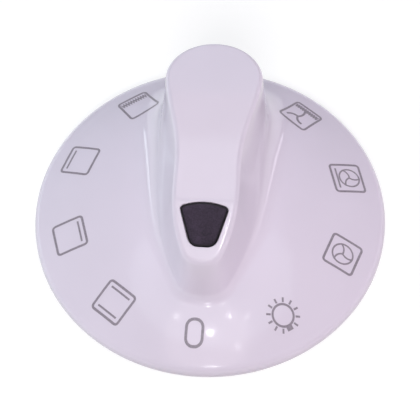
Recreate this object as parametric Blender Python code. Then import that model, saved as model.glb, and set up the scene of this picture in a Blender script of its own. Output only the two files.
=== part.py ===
"""Oven control knob.

The skirted dial and its finger grip are one hollow plastic moulding. A dark
pointer insert snaps into the sloping nose of the grip, and a spring clip closes
the split boss on the oven's D-shaped spindle.

The origin is on the spindle's axis, in the plane of the skirt's rim. +Z runs
out of the oven along the spindle, and the grip's nose points to -Y.
"""
import math

import bmesh
import bpy
from mathutils import Matrix, Vector

MM = 0.001

# Dial: a domed skirt with an upright, rounded rim
DIAL_RADIUS = 32.0 * MM
DOME_RADIUS = 64.0 * MM
RIM_LAND = 0.8 * MM
RIM_ROUND = 1.8 * MM
WALL = 2.2 * MM

# Grip where it meets the dome, seen from above; nose and back are distances from the spindle's axis
FOOT_NOSE = 20.2 * MM
FOOT_BACK = 24.9 * MM
FOOT_HALF_WIDTH = 10.3 * MM
FOOT_WIDEST_Y = 6.4 * MM

# Grip along its top edge
TOP_NOSE = 18.6 * MM
TOP_BACK = 24.3 * MM
HEAD_HALF_WIDTH = 8.7 * MM
HEAD_Y = 15.9 * MM

# Finger scoops that narrow the top edge to a waist
SCOOP_DEPTH = 2.2 * MM
SCOOP_Y = 2.3 * MM
SCOOP_REACH = 16.0 * MM

# The nose is a blunt wedge: the share of width that it loses, how late it loses it, how square it ends
FOOT_TAPER = 0.67
TOP_TAPER = 0.65
TAPER_POWER = 2.3
NOSE_SQUARENESS = 50.0

# How full the outlines are at the back: 2 is an ellipse, more is squarer
HEAD_FULLNESS = 2.0
FOOT_BACK_FULLNESS = 3.0

# Side view of the grip: a crowned back that breaks into a sloping nose facet
CROWN_HEIGHT = 22.9 * MM
CROWN_Y = 9.0 * MM
CROWN_RADIUS = 120.0 * MM
CREST_Y = -8.7 * MM
CREST_SOFTNESS = 0.4 * MM
NOSE_SLOPE = math.radians(25.0)
TOP_ROUND = 1.0 * MM

# Flare that carries the grip's walls into the dome, at the nose and at the back
FLARE_NOSE = 2.0 * MM
FLARE_BACK = 8.0 * MM
FLARE_RISE_NOSE = 1.4 * MM
FLARE_RISE_BACK = 1.2 * MM

# Boss and socket for a 6 mm spindle with a flat
SPINDLE_RADIUS = 3.0 * MM
SPINDLE_FLAT = 1.6 * MM
SPINDLE_PLAY = 0.1 * MM
SOCKET_DEPTH = 13.0 * MM
BOSS_WALL = 2.2 * MM
BOSS_RECESS = 1.0 * MM
SLIT_WIDTH = 1.2 * MM
SLIT_DEPTH = 8.0 * MM

# Spring clip round the boss
CLIP_THICKNESS = 0.6 * MM
CLIP_WIDTH = 3.0 * MM
CLIP_SETBACK = 1.2 * MM
CLIP_GAP = math.radians(50.0)

# Ribs inside the grip and under the skirt
RIB_THICKNESS = 1.2 * MM
GRIP_RIB_RECESS = 6.5 * MM
SKIRT_RIB_COUNT = 8
SKIRT_RIB_THICKNESS = 1.0 * MM
SKIRT_RIB_DEPTH = 1.4 * MM

# Pointer insert, measured down the nose facet from the crest
INSERT_START = 1.2 * MM
INSERT_END = 7.95 * MM
INSERT_TOP_HALF_WIDTH = 4.3 * MM
INSERT_NOSE_HALF_WIDTH = 2.2 * MM
INSERT_TOP_CORNER = 0.8 * MM
INSERT_NOSE_CORNER = 1.5 * MM
INSERT_BOW = 0.9 * MM
INSERT_THICKNESS = 1.2 * MM
INSERT_PROUD = 0.25 * MM
INSERT_EDGE = 0.3 * MM
LEG_WIDTH = 2.4 * MM
LEG_THICKNESS = 1.0 * MM
LEG_PITCH = 3.4 * MM
HOOK_REACH = 0.6 * MM
HOOK_HEIGHT = 1.4 * MM

# Room left between pieces, and how far cutters overrun the faces they cut
CLEARANCE = 0.3 * MM
OVERRUN = 1.0 * MM

# Fineness of the faceting
OUTER_HALF_STEPS = 56
INNER_HALF_STEPS = 28
ROUND_STEPS = 32
STATION_POWER = 1.12
SMOOTH_ANGLE = math.radians(35.0)


def clear_scene():
    """Remove whatever the scene holds."""
    for item in list(bpy.data.objects):
        bpy.data.objects.remove(item, do_unlink=True)


def plastic(name, colour, roughness, metallic=0.0):
    """A material with one Principled shader."""
    material = bpy.data.materials.new(name)
    material.use_nodes = True
    shader = material.node_tree.nodes["Principled BSDF"]
    shader.inputs["Base Color"].default_value = (*colour, 1.0)
    shader.inputs["Roughness"].default_value = roughness
    shader.inputs["Metallic"].default_value = metallic
    return material


def object_from(name, bm, material=None):
    """Turn a bmesh into an object, shaded smooth up to SMOOTH_ANGLE."""
    bmesh.ops.recalc_face_normals(bm, faces=bm.faces)
    mesh = bpy.data.meshes.new(name)
    bm.to_mesh(mesh)
    bm.free()
    mesh.shade_smooth()
    mesh.set_sharp_from_angle(angle=SMOOTH_ANGLE)
    if material:
        mesh.materials.append(material)
    item = bpy.data.objects.new(name, mesh)
    bpy.context.scene.collection.objects.link(item)
    return item


def combine(target, tool, operation):
    """Join, cut or trim target with tool, which then counts as construction only."""
    modifier = target.modifiers.new(f"{operation.lower()} {tool.name}", "BOOLEAN")
    modifier.operation = operation
    modifier.object = tool
    tool.hide_render = True
    tool.display_type = "WIRE"


def bezier(start, corner, end, t):
    """Point on the curve that leaves start and reaches end tangent to the two sides of the corner."""
    return start * (1 - t) ** 2 + corner * (2 * t * (1 - t)) + end * t ** 2


def smoothstep(t):
    return t * t * (3 - 2 * t)


def lobed_half_width(y, width, widest_y, nose, back, taper, back_fullness):
    """Half width at y of an outline that tapers to a blunt nose and ends in a half oval at the back."""
    if y < widest_y:
        along = min((widest_y - y) / (widest_y + nose), 1.0)
        return width * (1 - taper * along ** TAPER_POWER) * math.sqrt(1 - along ** NOSE_SQUARENESS)
    along = min((y - widest_y) / (back - widest_y), 1.0)
    return width * (1 - along ** back_fullness) ** (1 / back_fullness)


class GripOutline:
    """The grip in plan, drawn in by an inset that gives its inner and middle faces."""

    def __init__(self, inset):
        self.inset = inset
        self.foot_length = FOOT_NOSE + FOOT_BACK - 2 * inset
        self.top_length = TOP_NOSE + TOP_BACK - 2 * inset

    def foot(self, fraction):
        """Point of the foot's outline on the +X side, at a fraction of its length from the nose."""
        y = -FOOT_NOSE + self.inset + fraction * self.foot_length
        x = lobed_half_width(y, FOOT_HALF_WIDTH - self.inset, FOOT_WIDEST_Y, FOOT_NOSE - self.inset,
                             FOOT_BACK - self.inset, FOOT_TAPER, FOOT_BACK_FULLNESS)
        return Vector((x, y, 0))

    def top(self, fraction):
        """The same for the top edge, waisted by the finger scoops."""
        y = -TOP_NOSE + self.inset + fraction * self.top_length
        x = lobed_half_width(y, HEAD_HALF_WIDTH - self.inset, HEAD_Y, TOP_NOSE - self.inset,
                             TOP_BACK - self.inset, TOP_TAPER, HEAD_FULLNESS)
        place = max(-1.0, min(1.0, (y - SCOOP_Y) / SCOOP_REACH))
        scoop = SCOOP_DEPTH * math.cos(math.pi / 2 * place) ** 2
        return Vector((max(x - scoop, 0.0), y, 0))

    def fraction_at(self, angle):
        """Fraction of the length at which the foot is seen from the spindle at this angle."""
        low, high = 0.0, 1.0
        for _ in range(40):
            middle = (low + high) / 2
            point = self.foot(middle)
            if math.atan2(point.y, point.x) < angle:
                low = middle
            else:
                high = middle
        return (low + high) / 2

    def fractions(self, half_steps):
        """Stations from nose to back, closer at the nose, with a close pair round the crest."""
        crest = [(CREST_Y + side * CREST_SOFTNESS + TOP_NOSE - self.inset) / self.top_length
                 for side in (-1, 1)]
        reach = crest[1] - crest[0]
        angles = [math.pi * ((step / half_steps) ** STATION_POWER - 0.5) for step in range(1, half_steps)]
        even = [self.fraction_at(angle) for angle in angles]
        apart = [f for f in even if f < crest[0] - 0.5 * reach or f > crest[1] + 0.5 * reach]
        return [0.0] + sorted(apart + crest) + [1.0]


def mirrored(half):
    """Close a half outline, nose to back on the +X side, into a whole ring."""
    other = [Vector((-point.x, point.y, point.z)) for point in reversed(half[1:-1])]
    return half + other


def outward_normals(ring):
    """Unit normals in plan of a ring that runs anticlockwise."""
    normals = []
    for index in range(len(ring)):
        along = ring[(index + 1) % len(ring)] - ring[index - 1]
        normals.append(Vector((along.y, -along.x, 0)).normalized())
    return normals


def rim_angle():
    """Slope of the dome where the rim's rounding meets it."""
    return math.asin((DIAL_RADIUS - RIM_ROUND) / (DOME_RADIUS - RIM_ROUND))


def dome_centre():
    """Height of the dome's centre, below the rim."""
    return RIM_LAND + (RIM_ROUND - DOME_RADIUS) * math.cos(rim_angle())


def dome_height(point, inset):
    """Height of the dome above a point in plan."""
    return dome_centre() + math.sqrt((DOME_RADIUS - inset) ** 2 - point.x ** 2 - point.y ** 2)


def crown_height(y):
    """Height of the grip's crowned back."""
    return CROWN_HEIGHT - (y - CROWN_Y) ** 2 / (2 * CROWN_RADIUS)


def top_height(y, inset):
    """Height of the grip's top: the crowned back, or the nose facet past the crest."""
    facet = crown_height(CREST_Y) + math.tan(NOSE_SLOPE) * (y - CREST_Y)
    return min(crown_height(y), facet) - inset


def rim_profile(inset):
    """Radii and heights of the rim, bottom to top, ending on the dome."""
    radius = DIAL_RADIUS - inset
    if inset > 0:
        return [(radius, -OVERRUN), (radius, dome_height(Vector((radius, 0, 0)), inset))]
    profile = [(radius, 0.0)]
    steps = 4
    for step in range(steps + 1):
        angle = step / steps * (math.pi / 2 - rim_angle())
        profile.append((radius - RIM_ROUND * (1 - math.cos(angle)), RIM_LAND + RIM_ROUND * math.sin(angle)))
    return profile


def knob_rings(inset, half_steps):
    """Rings of points from the rim up over the dome, the flare and the grip to its spine."""
    outline = GripOutline(inset)
    fractions = outline.fractions(half_steps)
    foot = mirrored([outline.foot(f) for f in fractions])
    top = mirrored([outline.top(f) for f in fractions])
    along = mirrored([Vector((0, 0, f)) for f in fractions])
    foot_out = outward_normals(foot)
    top_out = outward_normals(top)
    edge_round = max(TOP_ROUND - inset, CLEARANCE)

    edges, corners, shoulders, brinks, uppers, inners = [], [], [], [], [], []
    for index, point in enumerate(foot):
        back = smoothstep(along[index].z)
        flare = FLARE_NOSE + (FLARE_BACK - FLARE_NOSE) * back
        rise = FLARE_RISE_NOSE + (FLARE_RISE_BACK - FLARE_RISE_NOSE) * back
        free = (DIAL_RADIUS - inset - RIM_ROUND - point.length) * 0.8
        flare = min(flare, free)
        edge = point + foot_out[index] * flare
        edge.z = dome_height(edge, inset)
        slope = edge.dot(foot_out[index]) / (edge.z - dome_centre())
        corner = Vector((point.x, point.y, edge.z + slope * flare))
        upper = Vector((top[index].x, top[index].y, top_height(top[index].y, inset)))
        wall = upper - corner
        inner = upper - top_out[index] * edge_round
        inner.z = top_height(inner.y, inset)
        edges.append(edge)
        corners.append(corner)
        shoulders.append(corner + wall * (rise / wall.length))
        brinks.append(upper - wall * (edge_round / wall.length))
        uppers.append(upper)
        inners.append(inner)

    rings = []
    profile = rim_profile(inset)
    for radius, height in profile:
        rings.append([Vector((edge.x, edge.y, 0)).normalized() * radius + Vector((0, 0, height))
                      for edge in edges])
    rim = rings[-1]
    for share in (0.3, 0.6, 0.82):
        ring = [start.lerp(edge, share) for start, edge in zip(rim, edges)]
        for point in ring:
            point.z = dome_height(point, inset)
        rings.append(ring)
    for t in (0.0, 0.35, 0.6, 0.78, 0.9, 1.0):
        rings.append([bezier(e, c, s, t) for e, c, s in zip(edges, corners, shoulders)])
    for share in (0.5, 1.0):
        rings.append([s.lerp(b, share) for s, b in zip(shoulders, brinks)])
    for t in (0.33, 0.67, 1.0):
        rings.append([bezier(b, u, i, t) for b, u, i in zip(brinks, uppers, inners)])
    spine_start = -TOP_NOSE + inset + 0.35 * HEAD_HALF_WIDTH
    spine_end = HEAD_Y
    for share in (0.45, 1.0):
        ring = []
        for point in inners:
            middle = Vector((0, min(max(point.y, spine_start), spine_end), 0))
            place = point.lerp(middle, share)
            place.z = top_height(place.y, inset)
            ring.append(place)
        rings.append(ring)
    return rings


def knob_solid(name, inset, half_steps, material=None):
    """Closed solid of the knob's outer form, drawn in by an inset."""
    bm = bmesh.new()
    previous = None
    for ring in knob_rings(inset, half_steps):
        vertices = [bm.verts.new(point) for point in ring]
        if previous is None:
            bm.faces.new(list(reversed(vertices)))
        else:
            for index in range(len(vertices)):
                following = (index + 1) % len(vertices)
                bm.faces.new((previous[index], previous[following], vertices[following], vertices[index]))
        previous = vertices
    bmesh.ops.remove_doubles(bm, verts=bm.verts, dist=0.001 * MM)
    return object_from(name, bm, material)


def extruded(name, outline, low, high, frame=Matrix(), material=None):
    """Prism of an outline in a frame's own plane, from low to high along its normal."""
    bm = bmesh.new()
    face = bm.faces.new([bm.verts.new(Vector((x, y, low))) for x, y in outline])
    extrusion = bmesh.ops.extrude_face_region(bm, geom=[face])
    lifted = [item for item in extrusion["geom"] if isinstance(item, bmesh.types.BMVert)]
    bmesh.ops.translate(bm, vec=(0, 0, high - low), verts=lifted)
    bm.transform(frame)
    return object_from(name, bm, material)


def add_box(bm, low, high, turn=0.0):
    """Add a box between two corners, turned about Z."""
    centre = (Vector(low) + Vector(high)) / 2
    size = Vector(high) - Vector(low)
    place = Matrix.Rotation(turn, 4, "Z") @ Matrix.Translation(centre) @ Matrix.Diagonal((*size, 1.0))
    bmesh.ops.create_cube(bm, size=1.0, matrix=place)


def circle(radius, start=0.0, end=2 * math.pi, steps=ROUND_STEPS):
    """Points on an arc, both ends included unless it is a whole circle."""
    whole = math.isclose(end - start, 2 * math.pi)
    count = steps if whole else steps + 1
    angles = [start + (end - start) * step / steps for step in range(count)]
    return [(radius * math.cos(angle), radius * math.sin(angle)) for angle in angles]


def socket_radius():
    """Radius of the round side of the socket, with the spindle's play."""
    return SPINDLE_RADIUS + SPINDLE_PLAY


def boss_radius():
    return socket_radius() + BOSS_WALL


def clip_seat_radius():
    """Radius of the groove that the spring clip lies in."""
    return boss_radius() - CLIP_THICKNESS


def clip_levels():
    """Heights of the clip's two edges."""
    low = BOSS_RECESS + CLIP_SETBACK
    return low, low + CLIP_WIDTH


def spindle_socket():
    """Cutter for the D-shaped socket; the flat is on the +Y side."""
    flat_angle = math.asin((SPINDLE_FLAT + SPINDLE_PLAY) / socket_radius())
    outline = circle(socket_radius(), math.pi - flat_angle, 2 * math.pi + flat_angle)
    return extruded("socket cutter", outline, BOSS_RECESS - OVERRUN, BOSS_RECESS + SOCKET_DEPTH)


def boss_slit():
    """Cutter for the slit that lets the boss spring open, opposite the flat."""
    bm = bmesh.new()
    add_box(bm, (-SLIT_WIDTH / 2, -boss_radius() - OVERRUN, BOSS_RECESS - OVERRUN),
            (SLIT_WIDTH / 2, 0, BOSS_RECESS + SLIT_DEPTH))
    return object_from("slit cutter", bm)


def clip_groove():
    """Cutter for the groove round the boss: a ring of square section."""
    low, high = clip_levels()
    ring = extruded("groove cutter", circle(boss_radius() + OVERRUN), low - CLEARANCE, high + CLEARANCE)
    bore = extruded("groove core", circle(clip_seat_radius()), low - OVERRUN, high + OVERRUN)
    combine(ring, bore, "DIFFERENCE")
    return ring


def grip_insides(core):
    """Boss with its three ribs to the grip's walls, trimmed to the middle of the walls."""
    boss = extruded("boss", circle(boss_radius()), BOSS_RECESS, CROWN_HEIGHT)
    bm = bmesh.new()
    half = RIB_THICKNESS / 2
    root = socket_radius() + BOSS_WALL / 2
    add_box(bm, (-half, root, GRIP_RIB_RECESS), (half, FOOT_BACK, CROWN_HEIGHT))
    for side in (-1, 1):
        near, far = sorted((side * root, side * FOOT_HALF_WIDTH))
        add_box(bm, (near, -half, GRIP_RIB_RECESS), (far, half, CROWN_HEIGHT))
    combine(boss, object_from("grip ribs", bm), "UNION")
    combine(boss, core, "INTERSECT")
    return boss


def skirt_ribs(core):
    """Low ribs on the underside of the skirt, between the grip's foot and the rim."""
    bm = bmesh.new()
    half = SKIRT_RIB_THICKNESS / 2
    for number in range(SKIRT_RIB_COUNT):
        turn = 2 * math.pi * (number + 0.5) / SKIRT_RIB_COUNT
        add_box(bm, (FOOT_HALF_WIDTH - WALL, -half, 0), (DIAL_RADIUS - WALL / 2, half, CROWN_HEIGHT), turn)
    ribs = object_from("skirt ribs", bm)
    outline = GripOutline(WALL / 2)
    foot = mirrored([outline.foot(f) for f in outline.fractions(INNER_HALF_STEPS)])
    footprint = extruded("grip footprint", [(p.x, p.y) for p in foot], -OVERRUN, CROWN_HEIGHT + OVERRUN)
    combine(ribs, footprint, "DIFFERENCE")
    below = knob_solid("skirt rib depth", WALL + SKIRT_RIB_DEPTH, INNER_HALF_STEPS)
    combine(ribs, below, "DIFFERENCE")
    combine(ribs, core, "INTERSECT")
    return ribs


def facet_frame():
    """Frame on the nose facet: origin at the crest, +Y down the slope to the nose, +Z out of it."""
    down = Vector((0, -math.cos(NOSE_SLOPE), -math.sin(NOSE_SLOPE)))
    out = Vector((0, -math.sin(NOSE_SLOPE), math.cos(NOSE_SLOPE)))
    frame = Matrix((down.cross(out), down, out)).transposed().to_4x4()
    return Matrix.Translation((0, CREST_Y, crown_height(CREST_Y))) @ frame


def insert_outline(grow=0.0):
    """Rounded trapezoid of the insert in the facet's plane, its top edge bowed to the crest."""
    start, end = INSERT_START - grow, INSERT_END + grow
    top, nose = INSERT_TOP_HALF_WIDTH + grow, INSERT_NOSE_HALF_WIDTH + grow
    corners = [((-top, start), INSERT_TOP_CORNER), ((top, start), INSERT_TOP_CORNER),
               ((nose, end), INSERT_NOSE_CORNER), ((-nose, end), INSERT_NOSE_CORNER)]
    outline = []
    steps = 6
    for index, (corner, reach) in enumerate(corners):
        here = Vector((*corner, 0))
        before = Vector((*corners[index - 1][0], 0))
        after = Vector((*corners[(index + 1) % 4][0], 0))
        first = here + (before - here).normalized() * (reach + grow)
        last = here + (after - here).normalized() * (reach + grow)
        outline += [bezier(first, here, last, step / steps) for step in range(steps + 1)]
        if index == 0:
            outline += [last.lerp(Vector((-last.x, last.y, 0)), step / 8) for step in range(1, 8)]
    for point in outline:
        bow = INSERT_BOW * (1 - (point.x / top) ** 2) * (end - point.y) / (end - start)
        point.y -= bow
    return [(point.x, point.y) for point in outline]


def leg_places():
    """Where each snap leg stands down the facet, and which way its hook points."""
    middle = (INSERT_START + INSERT_END) / 2
    return [(middle - LEG_PITCH / 2, -1), (middle + LEG_PITCH / 2, 1)]


def facet_wall():
    """Thickness of the wall behind the nose facet."""
    return WALL * math.cos(NOSE_SLOPE)


def insert_pocket():
    """Cutter for the recess that holds the insert."""
    return extruded("pocket cutter", insert_outline(CLEARANCE), -INSERT_THICKNESS - CLEARANCE, OVERRUN,
                    facet_frame())


def leg_holes():
    """Cutter for the two holes that the insert's legs snap through."""
    bm = bmesh.new()
    width = LEG_WIDTH / 2 + CLEARANCE
    depth = LEG_THICKNESS / 2 + CLEARANCE
    for place, _ in leg_places():
        add_box(bm, (-width, place - depth, -facet_wall() - OVERRUN), (width, place + depth, 0))
    bm.transform(facet_frame())
    return object_from("leg hole cutter", bm)


def knob_body(material):
    """Dial and grip: one moulding, hollow from below, with its boss, ribs, pocket and socket."""
    body = knob_solid("knob_body", 0.0, OUTER_HALF_STEPS, material)
    combine(body, knob_solid("hollow cutter", WALL, INNER_HALF_STEPS), "DIFFERENCE")
    core = knob_solid("wall middle", WALL / 2, INNER_HALF_STEPS)
    combine(body, grip_insides(core), "UNION")
    combine(body, skirt_ribs(core), "UNION")
    for cutter in (spindle_socket(), boss_slit(), clip_groove(), insert_pocket(), leg_holes()):
        combine(body, cutter, "DIFFERENCE")
    return body


def pointer_insert(material):
    """Dark index plate with a softened face and two snap legs."""
    frame = facet_frame()
    plate = extruded("pointer_insert", insert_outline(), -INSERT_THICKNESS, INSERT_PROUD, material=material)
    bm = bmesh.new()
    bm.from_mesh(plate.data)
    rim = [edge for edge in bm.edges if all(vertex.co.z > 0 for vertex in edge.verts)]
    bmesh.ops.bevel(bm, geom=rim, offset=INSERT_EDGE, segments=2, affect="EDGES", clamp_overlap=True)
    bm.transform(frame)
    bm.to_mesh(plate.data)
    bm.free()
    legs = bmesh.new()
    shank = facet_wall() + CLEARANCE
    for place, way in leg_places():
        outer = place + way * LEG_THICKNESS / 2
        inner = place - way * LEG_THICKNESS / 2
        tip = -shank - HOOK_HEIGHT
        section = [(inner, -INSERT_THICKNESS / 2), (outer, -INSERT_THICKNESS / 2), (outer, -shank),
                   (outer + way * HOOK_REACH, -shank), (outer, tip), (inner, tip)]
        left = [legs.verts.new((-LEG_WIDTH / 2, y, z)) for y, z in section]
        right = [legs.verts.new((LEG_WIDTH / 2, y, z)) for y, z in section]
        legs.faces.new(left)
        legs.faces.new(list(reversed(right)))
        for index in range(len(section)):
            following = (index + 1) % len(section)
            legs.faces.new((left[following], left[index], right[index], right[following]))
    legs.transform(frame)
    combine(plate, object_from("snap legs", legs), "UNION")
    return plate


def boss_clip(material):
    """Open ring of spring steel strip in the boss's groove, its gap over the slit."""
    low, high = clip_levels()
    start, end = -math.pi / 2 + CLIP_GAP / 2, 3 * math.pi / 2 - CLIP_GAP / 2
    inner = circle(clip_seat_radius() + CLEARANCE, start, end)
    outer = circle(clip_seat_radius() + CLEARANCE + CLIP_THICKNESS, start, end)
    return extruded("boss_clip", inner + list(reversed(outer)), low, high, material=material)


def main():
    clear_scene()
    white = plastic("white gloss plastic", (0.72, 0.67, 0.75), 0.22)
    charcoal = plastic("charcoal matte plastic", (0.04, 0.04, 0.05), 0.6)
    steel = plastic("spring steel", (0.45, 0.45, 0.46), 0.35, 1.0)
    knob_body(white)
    pointer_insert(charcoal)
    boss_clip(steel)


main()
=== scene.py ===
"""Oven control knob, dressed for the studio.

The white moulding, its charcoal pointer and its spring clip are remodelled with fine
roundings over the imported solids, and the dial gets its pad-printed marks. Lengths are in
metres. The knob stands on the rim of its dial, its nose points to -Y and +Z runs out of
the oven along the spindle.
"""
import math
from contextlib import contextmanager

import bmesh
import bpy
from mathutils import Matrix, Vector


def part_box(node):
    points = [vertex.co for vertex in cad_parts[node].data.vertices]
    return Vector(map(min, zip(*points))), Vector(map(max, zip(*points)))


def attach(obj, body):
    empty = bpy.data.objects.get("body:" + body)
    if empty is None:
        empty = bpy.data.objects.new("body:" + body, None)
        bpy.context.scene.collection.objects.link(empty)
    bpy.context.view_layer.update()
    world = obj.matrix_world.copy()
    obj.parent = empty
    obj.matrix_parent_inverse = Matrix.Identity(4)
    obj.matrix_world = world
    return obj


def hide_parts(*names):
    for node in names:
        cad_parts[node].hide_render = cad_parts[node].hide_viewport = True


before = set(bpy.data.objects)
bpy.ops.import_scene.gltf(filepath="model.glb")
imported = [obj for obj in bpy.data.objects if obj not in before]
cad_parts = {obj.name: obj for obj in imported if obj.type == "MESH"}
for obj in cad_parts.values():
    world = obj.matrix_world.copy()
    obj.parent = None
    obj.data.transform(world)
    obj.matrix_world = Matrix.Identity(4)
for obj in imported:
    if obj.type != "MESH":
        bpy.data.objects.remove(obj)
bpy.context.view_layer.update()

bl_info = {
    "name": "Oven control knob",
    "version": (1, 0, 0),
    "blender": (4, 5, 0),
    "location": "3D View > Sidebar > Knob",
    "description": "Models and finishes a domed oven knob with a pointer and printed marks",
    "category": "Add Mesh",
}

_, BODY_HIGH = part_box("knob_body")
CLIP_LOW, CLIP_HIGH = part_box("boss_clip")
MM = 0.001

# Rim of the dial, bottom to top
RIM_LAND = 0.8 * MM
RIM_ROUND = 1.8 * MM
BOTTOM_ROUND = 0.25 * MM
INNER_ROUND = 0.6 * MM

# Grip where it meets the dome, seen from above
FOOT_NOSE = 20.2 * MM
FOOT_BACK = 24.9 * MM
FOOT_HALF_WIDTH = 10.5 * MM
FOOT_WIDEST_Y = 6.4 * MM

# Grip along its top edge, with the finger scoops that narrow it
TOP_NOSE = 18.6 * MM
TOP_BACK = 24.3 * MM
HEAD_HALF_WIDTH = 8.7 * MM
HEAD_Y = 15.9 * MM
SCOOP_Y = 2.3 * MM
SCOOP_REACH = 16.0 * MM
SPINE_INSET = 0.35 * HEAD_HALF_WIDTH

# The nose is a blunt wedge: the share of width that it loses, how late it loses it, how square it ends
FOOT_TAPER = 0.67
TOP_TAPER = 0.65
TAPER_POWER = 2.3
NOSE_SQUARENESS = 50.0

# How full the outlines are at the back: 2 is an ellipse, more is squarer
HEAD_FULLNESS = 2.0
FOOT_BACK_FULLNESS = 3.0

# Side view of the grip: a crowned back that rolls over a crest into the nose facet
CROWN_Y = 9.0 * MM
CROWN_RADIUS = 120.0 * MM
CREST_Y = -8.7 * MM
CREST_ROLL = 0.14 * MM
TOP_ROUND = 0.8 * MM

# Flare that carries the grip's walls into the dome, at the nose and at the back
FLARE_NOSE = 1.6 * MM
FLARE_BACK = 6.0 * MM
FLARE_RISE_NOSE = 1.2 * MM
FLARE_RISE_BACK = 5.6 * MM
FLARE_SHARE = 0.8

# Boss, socket, slit and ribs on the hidden side
SOCKET_RADIUS = 3.1 * MM
SOCKET_FLAT = 1.7 * MM
SOCKET_DEPTH = 13.0 * MM
SOCKET_MOUTH = 0.4 * MM
BOSS_RADIUS = 5.3 * MM
BOSS_RECESS = 1.0 * MM
SLIT_WIDTH = 1.2 * MM
SLIT_DEPTH = 8.0 * MM
RIB_THICKNESS = 1.2 * MM
GRIP_RIB_RECESS = 6.5 * MM
SKIRT_RIB_COUNT = 8
SKIRT_RIB_THICKNESS = 1.0 * MM
SKIRT_RIB_DEPTH = 1.4 * MM
CLIP_THICKNESS = 0.6 * MM
CLIP_EDGE = 0.1 * CLIP_THICKNESS
CLIP_GAP = math.radians(50.0)
CLEARANCE = 0.3 * MM

# Pointer insert, measured down the nose facet from the crest
INSERT_START = 1.2 * MM
INSERT_END = 7.95 * MM
INSERT_MIDDLE = (INSERT_START + INSERT_END) / 2
INSERT_TOP_HALF_WIDTH = 4.3 * MM
INSERT_NOSE_HALF_WIDTH = 2.2 * MM
INSERT_TOP_CORNER = 0.8 * MM
INSERT_NOSE_CORNER = 1.5 * MM
INSERT_BOW = 0.9 * MM
INSERT_THICKNESS = 1.2 * MM
INSERT_PROUD = 0.25 * MM
INSERT_EDGE = 0.5 * MM
POCKET_ROUND = 0.16 * MM
INSERT_CROWN = 0.08 * MM
LEG_WIDTH = 2.4 * MM
LEG_THICKNESS = 1.0 * MM
LEG_PITCH = 3.4 * MM
HOOK_REACH = 0.6 * MM
HOOK_HEIGHT = 1.4 * MM

# Where each snap leg stands down the facet, and which way its hook points
LEGS = ((INSERT_MIDDLE - LEG_PITCH / 2, -1), (INSERT_MIDDLE + LEG_PITCH / 2, 1))

# Steps that crown the insert's face: the size of each against the one before, its share of the rise
INSERT_CROWN_STEPS = ((0.85, 0.4), (0.8, 0.3), (0.7, 0.2), (0.5, 0.1))

# Printed marks: strokes and sizes, across and along the dial's radius
MARK_PLACES = 10
FRAME_WIDTH = 6.25 * MM
FRAME_HEIGHT = 5.9 * MM
FRAME_CORNER = 0.75 * MM
FRAME_SHIFT = 0.1 * MM
HEAT_LENGTH = 4.2 * MM
HEAT_STROKE = 0.33 * MM
HEAT_PLACE = 1.85 * MM
GRILL_INSET = 0.55 * MM
GRILL_LEGS = 20
GRILL_STROKE = 0.8 * MM
GRILL_REACH = 1.5 * MM
SHORT_GRILL_REACH = 1.1 * MM
FAN_RADIUS = 2.0 * MM
FAN_STROKE = 0.3 * MM
FAN_SHIFT = -0.35 * MM
WIDE_FAN_RADIUS = 2.1 * MM
WIDE_FAN_STROKE = 0.42 * MM
WIDE_FAN_PLACE = (0.2 * MM, 0.62 * MM)
BLADE_COUNT = 3
BLADE_SWEEP = math.radians(80)
BLADE_TURN = math.radians(20)
FIGURE_WIDTH = 3.4 * MM
FIGURE_HEIGHT = 4.95 * MM
FIGURE_CORNER = 0.46 * FIGURE_WIDTH
FIGURE_STROKE = 0.5 * MM
LAMP_RADIUS = 2.05 * MM
LAMP_STROKE = 0.38 * MM
RAY_COUNT = 12
RAY_START = 2.2 * MM
RAY_END = 3.0 * MM
RAY_STROKE = 0.34 * MM
LAMP_CAP_WIDTH = 1.1 * MM
LAMP_CAP_START = 1.8 * MM
LAMP_CAP_HEIGHT = 0.9 * MM
PLAIN_SHIFT = -0.34 * MM
INK_LIFT = 0.012 * MM
INK_THICKNESS = 0.03 * MM
STEP_ON_DOME = 0.8 * MM
CUTS_ON_DOME = 6

# Camera, by azimuth from the nose, elevation and distance, and the size of the studio
CAMERA_DISTANCE = 380.0 * MM
CAMERA_AZIMUTH = math.radians(5.3)
CAMERA_ELEVATION = math.radians(59.69)
CAMERA_ROLL = math.radians(1.723)
CAMERA_LENS = 177.5
CAMERA_SENSOR = 36.0
CAMERA_SHIFT = (-0.0001, 0.0245)
FLOOR_SIZE = 3.0
LAMP_DISTANCE = 0.9

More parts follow.
